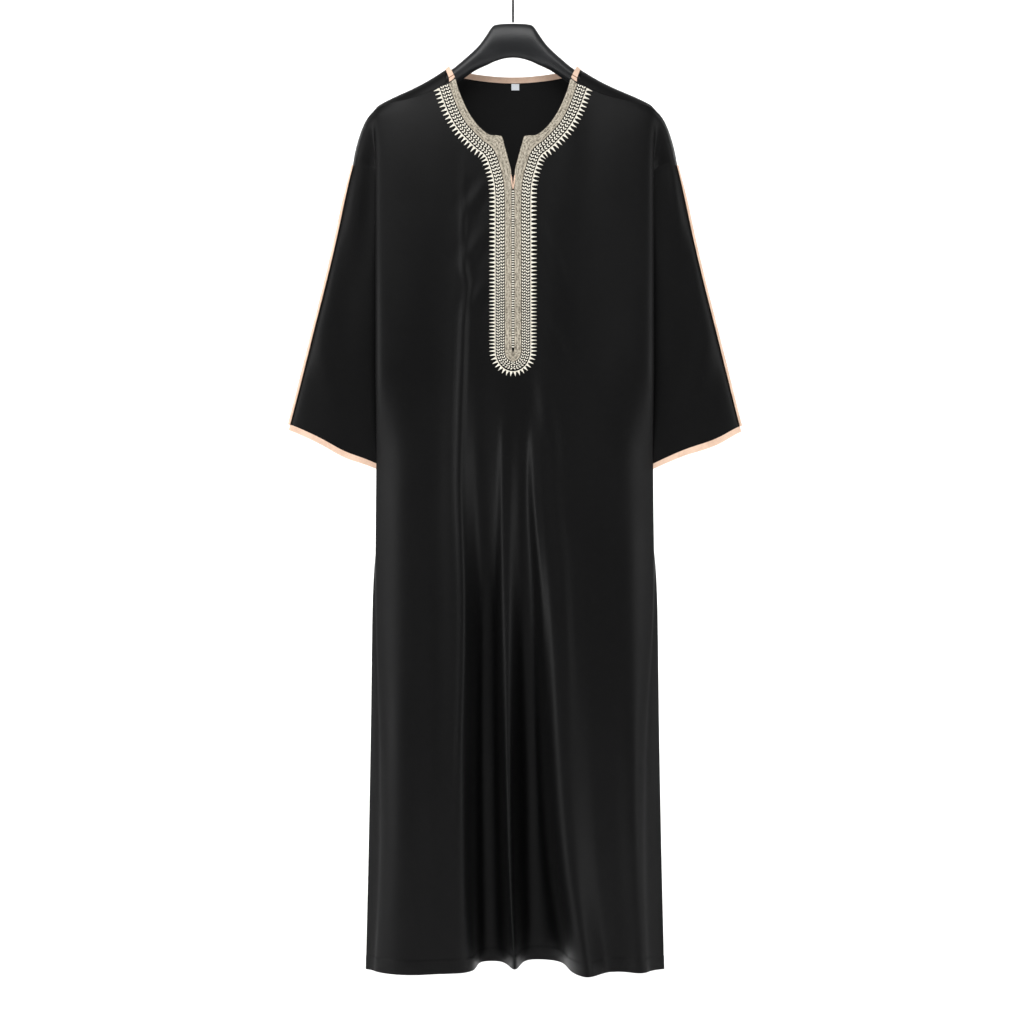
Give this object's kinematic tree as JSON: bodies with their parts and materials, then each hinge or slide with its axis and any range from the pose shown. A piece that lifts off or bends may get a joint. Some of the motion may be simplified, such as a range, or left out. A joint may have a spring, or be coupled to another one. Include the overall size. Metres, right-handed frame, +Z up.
{
  "type": "kaftan on a hanger",
  "caption": "Long black kaftan with wide sleeves, satin-bound neck and cuffs and a stitched neckline and placket, hanging from a plain moulded hanger.",
  "frame": {"origin": "seat of the hook, the inner top of its crook, where a rail carries the hanger", "axes": "+Z up, -Y the front of the garment, +X to the right of a viewer in front of it"},
  "size_m": [0.6778, 0.147, 1.4762],
  "materials": {
    "cloth": "black crepe with a dull satin sheen",
    "satin_tape": "peach satin",
    "light_thread": "cream and pale gold embroidery thread",
    "grey_thread": "grey-beige embroidery thread",
    "label_tape": "white woven label, blank",
    "hanger_plastic": "black, satin",
    "hook_metal": "black, satin"
  },
  "bodies": {
    "root": {"front": "cloth", "back": "cloth", "sleeve_l": "cloth", "sleeve_r": "cloth", "cuff_binding_l": "satin_tape", "cuff_binding_r": "satin_tape", "sleeve_tape_l": "satin_tape", "sleeve_tape_r": "satin_tape", "neck_binding": "satin_tape", "slit_point": "satin_tape", "neck_braid": "grey_thread", "leaf_row_inner": "light_thread", "leaf_row_outer": "light_thread", "spike_row": "light_thread", "dot_cord": "light_thread", "size_label": "label_tape", "hanger": "hanger_plastic", "hook": "hook_metal"}
  },
  "joints": []
}
